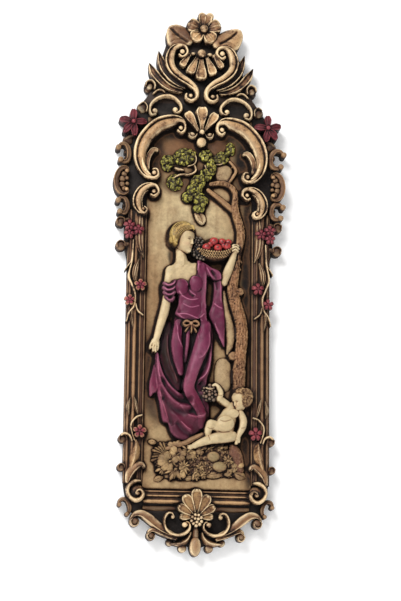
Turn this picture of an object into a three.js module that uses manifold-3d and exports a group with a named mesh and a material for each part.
// A tall wall plaque cast in one piece: a scrolled frame with a flower crest round a panel in relief,
// where a lady with a fruit basket and a cherub stand by a tree above a heap of leaves and gourds.
// Millimetres, +Z up, the flat back on the plane y = 0 and the front facing -Y.
import * as THREE from 'three';
import { mergeVertices } from 'three/addons/utils/BufferGeometryUtils.js';
import Module from 'manifold-3d';

const wasm = await Module();
wasm.setup();

// Levels above the flat back.
const groundTop = 9;
const footLevel = 5;
const sillTop = 13;
const reedTop = 17;
const edgeTop = 18;
const scrollTop = 24;
const crestTop = 22;
const leafTop = 18;
const figureTop = 32;
const skirtTop = 26;
const foldTop = 30;
const heapTop = 20;

// Half widths and heights of the panel and its straight mouldings.
const panelHalf = 57.5;
const frameHalf = 78.5;
const reedLow = -200;
const reedHigh = 92;
const mergeGap = 0.4;

// Cross-sections: across from -0.5 to 0.5, up from 0 to 1.
const ridge = [[-0.5, 0], [-0.3, 0.95], [0.3, 0.95], [0.5, 0]];
const fold = [[-0.5, 0], [0, 1], [0.5, 0]];
const band = [[-0.5, 0], [-0.38, 1], [0.3, 0.74], [0.5, 0]];
const spoon = [[-0.5, 0], [-0.42, 1], [0, 0.78], [0.42, 1], [0.5, 0]];
const flesh = [[-0.5, 0], [-0.42, 0.62], [-0.15, 1], [0.2, 1], [0.44, 0.62], [0.5, 0]];

// A closed three.js geometry as a solid, with its faces turned out.
function solid(geometry) {
  const bare = geometry.index ? geometry.toNonIndexed() : geometry;
  for (const name of Object.keys(bare.attributes)) {
    if (name !== 'position') bare.deleteAttribute(name);
  }
  const merged = mergeVertices(bare, 1e-4);
  const corners = merged.index.array;
  const square = new THREE.Vector3();
  const kept = [];
  let volume = 0;
  const [a, b, c] = [new THREE.Vector3(), new THREE.Vector3(), new THREE.Vector3()];
  for (let i = 0; i < corners.length; i += 3) {
    const [p, q, r] = [corners[i], corners[i + 1], corners[i + 2]];
    if (p === q || q === r || r === p) continue;
    kept.push(p, q, r);
    a.fromBufferAttribute(merged.attributes.position, p);
    b.fromBufferAttribute(merged.attributes.position, q);
    c.fromBufferAttribute(merged.attributes.position, r);
    volume += square.crossVectors(b, c).dot(a);
  }
  if (volume < 0) {
    for (let i = 0; i < kept.length; i += 3) [kept[i], kept[i + 1]] = [kept[i + 1], kept[i]];
  }
  return new wasm.Manifold(new wasm.Mesh({
    numProp: 3,
    vertProperties: Float32Array.from(merged.attributes.position.array),
    triVerts: Uint32Array.from(kept),
  }));
}

// Levels so far under the figures' highest point.
const under = (...drops) => drops.map((drop) => figureTop - drop);

const join = (solids) => solids.flat(9).reduce((whole, next) => whole.add(next));
const pair = (make) => [make(1), make(-1)];

// A value that runs evenly through a list of stops as t goes from 0 to 1.
function through(stops, t) {
  if (typeof stops === 'number') return stops;
  const place = t * (stops.length - 1);
  const stop = Math.min(Math.floor(place), stops.length - 2);
  return THREE.MathUtils.lerp(stops[stop], stops[stop + 1], place - stop);
}

// A band laid on the backing along a smooth path of [x, z, width] stops.
function sweep({ path, top, base = 0, section = ridge, steps = path.length - 1, side = 1 }) {
  const spine = new THREE.CatmullRomCurve3(path.map(([x, z, width]) => new THREE.Vector3(x, z, width)));
  const outline = new THREE.Shape(section.map(([across, up]) => new THREE.Vector2(across, up)));
  const bar = new THREE.ExtrudeGeometry(outline, { depth: 1, steps, bevelEnabled: false });
  const place = bar.attributes.position;
  for (let i = 0; i < place.count; i += 1) {
    const along = THREE.MathUtils.clamp(place.getZ(i), 0, 1);
    const here = spine.getPoint(along);
    const heading = spine.getTangent(along);
    const ahead = new THREE.Vector2(heading.x, heading.y).normalize();
    const across = place.getX(i) * Math.max(here.z, 0.6);
    const height = base + place.getY(i) * (through(top, along) - base);
    place.setXYZ(i, side * (here.x - ahead.y * across), -height, here.y + ahead.x * across);
  }
  return solid(bar);
}

// A petal, leaf or lobe from its root outward at an angle in degrees from +X.
function petal({ x, z, angle, length, width, top, base = 0, section = spoon, side = 1, steps = 3 }) {
  const turn = THREE.MathUtils.degToRad(angle);
  const stops = [[0, 0.3], [0.3, 0.72], [0.62, 1], [0.86, 0.86], [1, 0.34]];
  const path = stops.map(([out, wide]) => [
    x + Math.cos(turn) * out * length,
    z + Math.sin(turn) * out * length,
    wide * width,
  ]);
  return sweep({ path, top, base, section, steps, side });
}

// A round or oval boss with a domed head, standing on the back or on the ground.
function boss({ x, z, radius, top, base = 0, stretch = 1, side = 1, sides = radius < 4 ? 5 : 6 }) {
  const shape = [[0, 0], [1, 0], [0.86, 0.8], [0, 1]];
  const profile = shape.map(([out, up]) => new THREE.Vector2(radius * out, -base - (top - base) * up));
  const dome = new THREE.LatheGeometry(profile, sides);
  dome.scale(1, 1, stretch);
  dome.translate(x, 0, z);
  if (side < 0) dome.scale(-1, 1, 1);
  return solid(dome);
}

// A flat slab of the given outline in the plane of the wall.
function slab(outline, low, high) {
  const depth = high - low;
  const plate = new THREE.ExtrudeGeometry(new THREE.Shape(outline), { depth, bevelEnabled: false });
  plate.translate(0, 0, low);
  plate.rotateX(Math.PI / 2);
  return solid(plate);
}

// The backing that carries everything, narrower than the ornament along its edge.
function backing() {
  const half = [
    [0, 318], [13, 313], [24, 305], [37, 304], [40, 288], [47, 268], [52, 250], [58, 234], [69, 216],
    [78, 204], [83, 186], [81, 172], [79, 160], [86, 148], [92, 134], [91, 117], [82.5, 104], [83, 50],
    [frameHalf, 42], [frameHalf, -192], [76, -214], [70, -234], [56, -238], [44, -247], [34, -258],
    [18, -266], [0, -272],
  ];
  const right = half.map(([x, z]) => new THREE.Vector2(x, z));
  const left = half.slice(1, -1).reverse().map(([x, z]) => new THREE.Vector2(-x, z));
  return slab([...right, ...left], 0, groundTop);
}

// Straight reeded mouldings down both sides, and three reeds with a plain band across the foot.
function mouldings() {
  const reeds = [[60, 5, reedTop - 3], [64.6, 5, reedTop - 2], [70, 8, reedTop], [75, 7, reedTop - 1]];
  const sides = pair((side) => reeds.map(([x, width, top]) => sweep({
    path: [[x, reedHigh, width], [x, reedLow, width]], top, base: footLevel, section: fold, steps: 1, side,
  })));
  const across = [[-211.5, 3.6], [-216, 4], [-222, 6]];
  const foot = across.map(([z, width]) => sweep({
    path: [[-56, z, width], [56, z, width]], top: reedTop - 1, base: footLevel, steps: 1,
  }));
  const plain = sweep({ path: [[-62, -229, 6], [62, -229, 6]], top: sillTop - 1, base: footLevel, steps: 1 });
  const sill = sweep({
    path: [[-panelHalf, -203, 14], [panelHalf, -203, 14]], top: sillTop, base: footLevel, steps: 1,
  });
  return [sides, foot, plain, sill];
}

// The flower at the top, with two broad leaves behind it.
function crestFlower() {
  const heart = { x: 1.5, z: 307.5 };
  const petals = [83, 163, 225, 309, 18].map((angle) => petal({
    ...heart, angle, length: 21.5, width: 16, top: [crestTop - 3, crestTop + 1, crestTop + 2, crestTop],
  }));
  const leaves = pair((side) => sweep({
    path: [[12, 292, 10], [24, 297, 20], [33, 302, 22], [40, 307, 12]], section: fold,
    top: [crestTop - 5, crestTop - 3, crestTop - 6], steps: 3, side,
  }));
  const centre = boss({ ...heart, radius: 5, top: crestTop + 5 });
  return [petals, leaves, centre];
}

// The S-shaped scrolls of the crest with two long blades beside each.
function crestScrolls() {
  const scroll = [
    [27, 277, 3], [22, 274, 3], [16.8, 279, 3.4], [19.5, 286, 4], [27, 286.5, 6], [33.5, 281, 8.5],
    [36.5, 270, 10], [33.5, 259, 9.5], [25, 250.5, 8.5], [15, 244.5, 7.5], [7.5, 238, 6], [5.2, 231, 5],
    [7, 225.5, 4], [12, 223, 3.6], [17.5, 226, 3.2], [17, 231.5, 2.6],
  ];
  const blades = [
    [[48.5, 281, 0.6], [46.3, 270, 6.5], [43, 259, 6], [35, 249.5, 6], [26, 243, 5], [17, 239, 4]],
    [[58.5, 266.5, 0.6], [54, 256.5, 8], [47.5, 247.5, 8], [39.5, 241, 7], [30, 237, 6], [20, 235.5, 4]],
  ];
  return pair((side) => [
    sweep({ path: scroll, top: scrollTop, base: footLevel, section: band, steps: 13, side }),
    blades.map((path, i) => sweep({ path, top: scrollTop - 3 - 2 * i, steps: 5, section: fold, side })),
    boss({ x: 22.3, z: 280, radius: 4, top: scrollTop - 1, base: footLevel, side }),
    boss({ x: 12.6, z: 229, radius: 3, top: scrollTop - 2, base: footLevel, side }),
    boss({ x: 57, z: 240.5, radius: 6.2, top: leafTop, side }),
    boss({ x: 65.5, z: 215, radius: 6.2, top: leafTop - 3, side }),
  ]);
}

// The gadrooned fan between the S-scrolls, hanging from its knob.
function fan() {
  const middle = petal({
    x: -0.5, z: 274, angle: -90, length: 27, width: 13.5,
    top: [crestTop - 2, crestTop + 2, crestTop], base: footLevel,
  });
  const lobes = pair((side) => [
    petal({ x: 4, z: 275, angle: -64, length: 25, width: 10.5, top: crestTop, base: footLevel, side }),
    petal({ x: 9, z: 277, angle: -47, length: 20.5, width: 8.5, top: crestTop - 2, base: footLevel, side }),
  ]);
  return [middle, lobes, boss({ x: -0.5, z: 278, radius: 4.7, top: crestTop + 3, base: footLevel })];
}

// The three-petalled bud below, with its ball drop.
function bud() {
  return [
    petal({
      x: 0.5, z: 188, angle: 90, length: 29.5, width: 13.5, top: [crestTop, crestTop + 1], base: footLevel,
    }),
    pair((side) => [
      petal({ x: 2.5, z: 188, angle: 61, length: 26, width: 9.5, top: crestTop, base: footLevel, side }),
      boss({ x: 9, z: 184, radius: 3.4, top: crestTop - 3, base: footLevel, side }),
    ]),
    boss({ x: 0.5, z: 186, radius: 3, top: crestTop, base: footLevel }),
    boss({ x: 0.5, z: 175, radius: 6, top: crestTop + 2, base: footLevel }),
  ];
}

// Open arches under the crest, the two broad C-scrolls of the head and the smaller pair below them.
function sideScrolls() {
  const arch = [
    [31, 213, 2.4], [28, 209, 3], [23, 212, 3.4], [23, 219, 3.6], [30, 226.5, 4], [38, 228.8, 4],
    [47, 226.5, 4], [54.5, 220.5, 3.8], [57.5, 213, 3.6], [55, 206.5, 3.2], [49.5, 207.5, 2.8],
  ];
  const broad = [
    [27, 188.5, 2.6], [23, 185, 3], [18.6, 188.5, 3.4], [18.8, 196, 4.4], [25, 200, 8], [34, 198.5, 14],
    [46.5, 194, 15.5], [57.5, 184, 15.5], [65, 171.5, 15.5], [68, 157.5, 13.5], [66.2, 144.5, 10],
    [60.5, 135.5, 6.5], [53.5, 131.5, 4.4], [47.6, 135, 3.6], [49, 141.5, 3], [54, 141.5, 2.4],
  ];
  const small = [
    [56, 113.5, 2.4], [51.5, 111.5, 3], [46.8, 116, 3.4], [49.5, 122.5, 4.4], [57, 123.2, 6.5],
    [64.5, 118.5, 9], [69.5, 110, 10], [70, 101, 9.5], [66.5, 93.5, 6], [61.5, 91.2, 4],
    [59.3, 95.5, 3.4], [63, 99, 2.6],
  ];
  const inner = [[47, 164.5, 2.5], [53, 164.5, 5.5], [58, 157, 6], [59.5, 147.5, 5], [58, 140, 3]];
  return pair((side) => [
    sweep({ path: arch, top: crestTop - 3, base: footLevel, section: fold, steps: 8, side }),
    sweep({ path: broad, top: scrollTop, base: footLevel, section: band, steps: 13, side }),
    boss({ x: 23, z: 190.5, radius: 3.4, top: scrollTop - 1, base: footLevel, side }),
    boss({ x: 52, z: 137.5, radius: 3.4, top: scrollTop - 1, base: footLevel, side }),
    sweep({ path: small, top: scrollTop - 1, base: footLevel, section: band, steps: 9, side }),
    boss({ x: 51.8, z: 116.6, radius: 3.3, top: scrollTop - 2, base: footLevel, side }),
    boss({ x: 63.5, z: 95.5, radius: 3, top: scrollTop - 2, base: footLevel, side }),
    sweep({ path: inner, top: scrollTop - 3, section: fold, steps: 4, base: footLevel, side }),
  ]);
}

// Pointed five-petalled flowers at the shoulders.
function shoulderFlowers() {
  return pair((side) => [
    [90, 14, 176, 262, 312].map((angle) => petal({
      x: 75.5, z: 196, angle, length: 16.5, width: 8, top: [edgeTop + 3, edgeTop + 2, edgeTop - 2],
      section: fold, side, steps: 4,
    })),
    boss({ x: 80, z: 176, radius: 6, top: edgeTop - 6, side }),
  ]);
}

// Small curls, the beaded shells and the round knops along the outer edge.
function edgeCurls() {
  const open = (x, z, radius) => [165, 120, 70, 0, -60, -115].map((angle, i) => {
    const turn = THREE.MathUtils.degToRad(180 - angle);
    const reach = radius * (i === 0 ? 0.8 : 1);
    return [x + reach * Math.cos(turn), z + reach * Math.sin(turn), 4.8];
  });
  const shell = [
    [80.5, 138.5, 3], [81.5, 143, 3.2], [88, 143.6, 3.8], [92.6, 137.5, 4], [94.2, 128, 4], [92.4, 119, 4],
    [87.5, 113.2, 3.8], [81.5, 114.2, 3.2], [80.6, 119, 3],
  ];
  const foot = [
    [83, -227, 3], [80.5, -220.8, 4], [75, -220.6, 4.4], [71.4, -226.5, 4.4], [71.2, -233, 4],
    [74.5, -236.5, 3],
  ];
  return pair((side) => [
    sweep({ path: open(89.5, 161, 8.6), top: edgeTop, section: fold, steps: 4, side }),
    sweep({ path: open(88, 100, 8), top: edgeTop, section: fold, steps: 4, side }),
    sweep({ path: shell, top: edgeTop + 1, section: fold, steps: 6, side }),
    sweep({ path: foot, top: edgeTop - 2, section: fold, steps: 5, side }),
    [[88, 134, 4.4], [88, 122.5, 4.4]].map(([x, z, radius]) => boss({
      x, z, radius, top: edgeTop - 1, side,
    })),
    [[87, 82, 5.6], [86.3, 55, 5.8], [79.6, -156.5, 5], [80.6, -187, 4.6]].map(([x, z, radius]) => boss({
      x, z, radius, top: edgeTop - 3, side,
    })),
  ]);
}

// Roses, blossoms, stems and leaves twined round the side mouldings.
function sideGarlands() {
  const stems = [
    [
      [73, 62, 2.6], [74, 40, 3], [77, 22, 3], [73.5, 11, 3], [70, 1, 3.2], [71, -12, 3], [76, -20, 3],
      [79, -30, 2],
    ],
    [[59.5, -131, 2], [66.5, -133.5, 3], [71.5, -141, 3], [70.5, -150, 3], [67, -158, 3]],
    [[70, -160, 3], [72.5, -153.5, 3.4], [78, -151, 3.4], [83.5, -153, 2.6]],
  ];
  const blades = [
    [[66.5, 90, 7], [67, 72, 12], [66, 56, 11], [61, 41, 1]],
    [[66, 40, 2], [70, 30, 8], [70.5, 20, 7], [67, 10, 1]],
    [[72, -10, 1], [74, -22, 6], [71, -36, 1]],
    [[64.5, -157, 5], [65.5, -171, 8], [69, -186, 6.5], [75, -202, 1]],
  ];
  return pair((side) => [
    stems.map((path) => sweep({ path, top: reedTop + 3, base: footLevel, section: fold, side })),
    blades.map((path) => sweep({ path, top: reedTop + 3, base: footLevel, section: fold, side })),
    [[67.5, 71, 5], [78.5, 71, 5.6], [64.6, 11, 5.2], [75.6, -6, 5], [62.6, -148.5, 5.6]].map(
      ([x, z, radius]) => boss({ x, z, radius, top: reedTop + 5, base: footLevel, side, sides: 5 }),
    ),
  ]);
}

// The corner volutes with their hooked leaves.
function lowerCorners() {
  const hook = [
    [74.5, -201, 2], [70.5, -191.5, 4.4], [64.5, -185.5, 4.8], [59, -183.5, 4.6], [56.3, -187.5, 3.4],
  ];
  const volute = [
    [60, -199.3, 1], [67, -199.8, 4.6], [73, -204.5, 4], [75.4, -211.5, 3.6], [72.8, -218.8, 3.6],
    [66, -223.2, 4.6], [59, -221.2, 5.2], [56.4, -215.4, 4.8], [59.5, -210.6, 3.6], [64, -212, 3],
    [64.4, -215.5, 2.4],
  ];
  return pair((side) => [
    sweep({ path: hook, top: scrollTop - 3, base: footLevel, section: fold, steps: 4, side }),
    sweep({ path: volute, top: scrollTop - 1, base: footLevel, steps: 9, side }),
  ]);
}

// Acanthus scrolls, ring scrolls and the drop that end the plaque.
function acanthus() {
  const arms = [
    [
      [70, -242, 3], [66.5, -236.3, 4.6], [59, -235, 6.5], [51, -239.5, 7.5], [43, -246, 7], [34, -252.5, 6],
      [22, -258, 4],
    ],
    [[51.5, -255.5, 3], [47, -251.8, 4.6], [40, -253.2, 5.4], [30, -258, 4.6], [20, -261.5, 4]],
  ];
  const ring = [
    [24.5, -238.5, 2.4], [26.5, -234.6, 2.8], [31, -235, 3.2], [34.2, -241, 3.4], [33.6, -249, 3.6],
    [28.5, -255.5, 4], [20, -257.5, 4], [12, -255.2, 4], [7.4, -250, 3.6], [8, -244.6, 3.2],
    [12, -242.6, 2.8],
  ];
  const under = [[5.5, -253, 4], [9, -261, 6.5], [16, -265.5, 7], [27.5, -266, 2.5]];
  const palmette = [[90, 28, 14.5], [63, 24, 11], [117, 24, 11], [27, 23, 9.5], [153, 23, 9.5]];
  return [
    pair((side) => [
      arms.map((path) => sweep({
        path, top: [edgeTop - 1, scrollTop - 2, scrollTop - 3], section: fold, steps: 5, side,
      })),
      boss({ x: 65.6, z: -244, radius: 6, top: edgeTop, side }),
      boss({ x: 48, z: -258.5, radius: 5.2, top: edgeTop - 1, side }),
      sweep({ path: ring, top: scrollTop - 2, base: footLevel, section: fold, steps: 8, side }),
      boss({ x: 12.8, z: -246.4, radius: 3, top: scrollTop - 2, base: footLevel, side }),
      sweep({ path: under, top: edgeTop - 2, section: fold, steps: 3, side }),
      boss({ x: 14.2, z: -271, radius: 4.6, top: edgeTop - 5, side }),
    ]),
    palmette.map(([angle, length, width]) => petal({
      x: -0.7, z: -239, angle, length, width, top: [crestTop - 2, crestTop + 2, crestTop], base: footLevel,
      section: fold, steps: 2,
    })),
    boss({ x: -0.6, z: -240.5, radius: 7.4, top: crestTop + 4, base: footLevel, sides: 8 }),
    boss({ x: -0.9, z: -265, radius: 6.4, top: edgeTop + 2, stretch: 2.4 }),
  ];
}

// Vine leaves and the garland that hangs at the head of the panel.
function vine() {
  const clumps = [
    [-20, 160, 11, 9], [-35, 151, 7, 9], [-27, 131, 8, 9], [4, 160, 7, 8], [13, 149, 5.5, 9],
    [24, 161, 7.5, 7], [34, 169, 6, 9], [-1, 131, 8, 8], [-7, 118, 9, 10], [1, 103, 7, 9], [2, 91, 5, 6],
  ];
  const ribbon = [[-30, 134, 2], [-20, 138, 3.4], [-11, 137, 3.4], [-4.5, 142, 3.2], [-6.5, 149, 2]];
  return [
    clumps.map(([x, z, radius, height]) => boss({
      x, z, radius, top: groundTop + 7, base: footLevel, stretch: height / radius,
    })),
    sweep({ path: ribbon, top: groundTop + 7, base: footLevel, section: fold }),
  ];
}

// The tree that leans in from the right, with its paler second stem.
function tree() {
  const trunk = [
    [45, -108, 12], [44.5, -85, 13], [46, -62, 11], [47.5, -42, 12], [45.5, -22, 12.5], [40, -4, 12.5],
    [37, 12, 11], [40, 32, 9], [42, 50, 8], [45.6, 67, 8], [45, 80, 9], [40, 95, 10], [38.8, 106, 9],
    [39.4, 118, 7], [34, 128, 6.5], [24, 131.5, 6.5], [12, 129, 5],
  ];
  const branch = [[38, 100, 6], [24, 110.5, 6.5], [9, 121.5, 5]];
  const pale = [[29.5, 8, 3], [32, -14, 8], [35, -35, 9.5], [33, -58, 3]];
  const loop = [[33, 155, 2.5], [39.5, 146.5, 3], [37, 139, 3], [33, 132, 2.5]];
  return [
    sweep({ path: trunk, top: groundTop + 11, base: footLevel }),
    sweep({ path: branch, top: groundTop + 8, base: footLevel }),
    sweep({ path: pale, top: groundTop + 7, base: footLevel }),
    sweep({ path: loop, top: groundTop + 6, base: footLevel, section: fold }),
    boss({ x: 27, z: 142, radius: 10.5, top: groundTop + 5, base: footLevel }),
    boss({ x: 46, z: 7.5, radius: 4.6, top: groundTop + 8, base: footLevel }),
    boss({ x: 37, z: -64, radius: 5, top: groundTop + 9, base: footLevel }),
    boss({ x: 28, z: -85, radius: 9, top: groundTop + 6, base: footLevel, stretch: 1.9 }),
  ];
}

// The lady: head turned to one side, a basket on her shoulder, the other hand holding up her skirt.
function lady() {
  const body = [
    sweep({
      path: [[-20, 52, 11], [-20, 44, 11.5], [-19, 36, 15]], top: under(5, 6, 7), base: footLevel, steps: 3,
    }),
    sweep({
      path: [[-17, 34, 24], [-17, 26, 42], [-13, 12, 38], [-11, -6, 30], [-10, -24, 32]],
      top: under(9, 6, 5, 6, 6), base: footLevel, steps: 4, section: flesh,
    }),
    boss({ x: -21, z: 10.5, radius: 6.6, top: figureTop - 3, base: footLevel }),
    boss({ x: -5, z: 13, radius: 7.6, top: figureTop - 2, base: footLevel }),
  ];
  const head = [
    boss({ x: -18, z: 62.5, radius: 10, top: figureTop - 1, base: footLevel, stretch: 1.35, sides: 8 }),
    boss({ x: -23.5, z: 71, radius: 11.5, top: figureTop - 3, base: footLevel, sides: 8 }),
    boss({ x: -29.5, z: 59, radius: 4, top: figureTop - 7, base: footLevel }),
    petal({
      x: -10.5, z: 66, angle: -76, length: 9, width: 4, top: under(3, -1, 1), base: figureTop - 12,
      section: fold, steps: 3,
    }),
  ];
  const nearArm = [
    sweep({
      path: [[-34, 30, 12], [-36, 18, 12.5], [-35.5, 4, 13], [-36, -6, 11]],
      top: figureTop - 6, base: footLevel, steps: 6,
    }),
    sweep({
      path: [[-36, -4, 10], [-38.5, -20, 10], [-44, -36, 8.5], [-48, -50, 8]],
      top: under(6, 7, 8), base: footLevel, steps: 6,
    }),
    [10, 0].map((z) => sweep({
      path: [[-42, z + 1, 3.4], [-35, z - 2, 4], [-28.5, z + 2, 3.4]],
      top: figureTop - 3, base: footLevel, section: fold, steps: 2,
    })),
    boss({ x: -48, z: -55, radius: 5.4, top: figureTop - 7, base: footLevel, stretch: 1.2 }),
  ];
  const farArm = [
    sweep({ path: [[8, 26, 10], [18, 20, 10], [28, 18, 8]], top: figureTop - 12, base: footLevel, steps: 4 }),
    sweep({
      path: [[27, 18, 8], [31.5, 30, 9.5], [36.5, 44, 7.5], [38.5, 54, 6]],
      top: under(10, 7, 6), base: footLevel, steps: 5,
    }),
    boss({ x: 38, z: 55, radius: 4.6, top: figureTop - 4, base: footLevel, stretch: 1.2 }),
  ];
  return [body, head, nearArm, farArm, basket(), dress()];
}

// A shallow woven basket heaped with apples, with dark grapes falling beside it.
function basket() {
  const grapeTop = figureTop - 8;
  const apples = [
    [6.5, 54, 4.7], [14.5, 61, 5], [18.5, 53.5, 4.5], [24, 60.5, 4.6], [29.5, 55, 4.6], [31, 61.5, 4],
  ];
  return [
    sweep({
      path: [[-4, 50, 3], [5, 46.5, 8], [15, 45, 10], [25, 46.5, 9], [35, 51.5, 4]],
      top: under(6, 2, 1, 2, 6), base: footLevel, steps: 8,
    }),
    apples.map(([x, z, radius]) => boss({ x, z, radius, top: figureTop, base: footLevel })),
    [[-2, 62], [-4, 54], [-1, 46]].map(([x, z]) => boss({
      x, z, radius: 4.4, top: grapeTop, base: footLevel,
    })),
  ];
}

// The gown, its shawl and the folds gathered up to the hand.
function dress() {
  const skirt = sweep({
    path: [[-10, -20, 32], [-7, -40, 46], [-3, -70, 52], [-6, -100, 54], [-10, -130, 50], [-12, -155, 44]],
    top: [skirtTop, skirtTop - 1, skirtTop, skirtTop, skirtTop - 1, skirtTop - 4],
    base: footLevel, steps: 4, section: flesh,
  });
  const leg = sweep({
    path: [[4, -34, 14], [6, -52, 18], [-2, -76, 16], [-5, -104, 14], [0, -140, 12]],
    top: under(4, 0, 1, 4, 7), base: footLevel, steps: 8,
  });
  const swags = [
    [[-46, -60, 3], [-43, -78, 3.6], [-33, -97, 4], [-20, -106.5, 4], [-6, -104, 3]],
    [[-47, -62, 3], [-45, -82, 4], [-37, -103, 4.6], [-25, -117, 5], [-10, -120.5, 4.6], [4, -114, 3.4]],
    [[-45, -84, 3], [-40.5, -104, 4.4], [-30, -121, 5], [-18, -133, 5], [-4, -142, 4]],
    [[-49, -64, 3], [-49.5, -82, 5.5], [-49, -98, 8], [-50, -109, 2]],
    [[-24, -26, 2.6], [-25, -46, 4], [-15, -72, 2.6]],
    [[14, -34, 3], [13, -56, 3.4], [5, -72, 3.4], [-6, -86, 2.6]],
    [[-25, -20, 2.4], [-17, -25, 3], [-8, -26.8, 3], [1, -24, 2.4]],
  ];
  const shawl = [
    [[-2, 40, 3], [2, 32, 12], [-2, 22, 12], [-8, 12, 5]],
    [[4, 36, 6], [14, 30, 9], [20, 18, 9], [21, 2, 9], [25, -10, 4]],
    [[4, 20, 6], [6, 0, 8], [6, -20, 7], [10, -32, 5]],
    [[22, -8, 6], [19, -18, 15], [21, -30, 9], [26, -52, 2]],
  ];
  return [
    skirt, leg,
    swags.map((path) => sweep({ path, top: foldTop, base: footLevel, section: fold })),
    shawl.map((path) => sweep({
      path, top: [foldTop - 4, foldTop - 2, foldTop - 5], base: footLevel, section: fold,
    })),
    boss({ x: -9.5, z: -32, radius: 6, top: foldTop + 1, base: footLevel, sides: 5 }),
  ];
}

// The seated cherub, reaching up with a bunch of grapes.
function cherub() {
  const limbs = [
    [[[33, -117, 7.5], [26, -115, 7], [21, -110, 6]], under(8, 7)],
    [[[21.5, -111, 6], [23.5, -104, 5.6], [19, -98, 5]], under(6, 5)],
    [[[45, -125, 8], [49, -138, 7.4], [45.5, -148, 6.6], [42, -157, 5]], under(7, 7)],
    [[[36, -120, 15], [35, -128, 19], [30, -138, 22], [29, -147, 20]], under(6, 4, 2, 4)],
    [[[30, -146, 10], [17, -139, 12], [11, -138, 10]], under(4, 2)],
    [[[12, -138, 9], [10.5, -147, 7.5], [13, -152, 6]], under(3, 6)],
    [[[34, -151, 12], [19, -154, 11], [6, -159, 8.5], [-6, -164, 6.5]], under(4, 4, 6, 8)],
  ];
  return [
    limbs.map(([path, top]) => sweep({ path, top, base: footLevel })),
    boss({ x: 47, z: -110.5, radius: 11, top: figureTop - 3, base: footLevel, sides: 8 }),
    boss({ x: 40.5, z: -113.5, radius: 7.2, top: figureTop - 1, base: footLevel, sides: 7 }),
    [[9, -102], [14, -105], [10, -110]].map(([x, z]) => boss({
      x, z, radius: 5, top: figureTop - 6, base: footLevel,
    })),
  ];
}

// The heap under the figures: a daisy, leaves, gourds, a fallen branch and a rock.
function harvest() {
  const daisy = [105, 143, 181, 219, 257].map((angle) => petal({
    x: -33, z: -174, angle, length: 17, width: 6.4, top: [heapTop - 2, heapTop, heapTop - 5],
    base: footLevel, section: fold, steps: 3,
  }));
  const lumps = [
    [-26, -174, 10, 1], [-13, -188, 11, -1], [-4, -176, 10, 2], [7, -187, 9, 0],
    [17, -173, 7, 5], [24.5, -183.5, 7.6, 5], [34, -173, 8, 0], [42.5, -173, 10, -1], [44, -188, 8, -3],
  ];
  return [
    daisy,
    lumps.map(([x, z, radius, rise]) => boss({ x, z, radius, top: heapTop + rise, base: footLevel })),
    sweep({
      path: [[-33, -167, 4], [-20, -161, 6], [-6, -155.5, 7], [8, -150, 6]],
      top: heapTop, base: footLevel, steps: 6,
    }),
    petal({ x: -18, z: -190, angle: 195, length: 20, width: 9, top: heapTop - 3, base: footLevel }),
    petal({ x: 8, z: -194, angle: 12, length: 24, width: 9, top: heapTop - 3, base: footLevel }),
  ];
}

// Small gaps that the leaves and folds would trap inside are filled, as they are in a casting.
const [casting] = join([
  backing(), mouldings(), crestFlower(), crestScrolls(), fan(), bud(), sideScrolls(), shoulderFlowers(),
  edgeCurls(), sideGarlands(), lowerCorners(), acanthus(), vine(), tree(), lady(), cherub(), harvest(),
]).simplify(mergeGap).decompose().sort((one, other) => other.volume() - one.volume());

const { vertProperties, triVerts } = casting.getMesh();
const shape = new THREE.BufferGeometry();
shape.setAttribute('position', new THREE.BufferAttribute(vertProperties, 3));
shape.setIndex(new THREE.BufferAttribute(triVerts, 1));
shape.computeVertexNormals();

const resin = new THREE.MeshStandardMaterial({ color: 0xbfa27a, roughness: 0.55, metalness: 0 });
const plaque = new THREE.Mesh(shape, resin);
plaque.name = 'plaque';

const part = new THREE.Group();
part.add(plaque);

export default part;
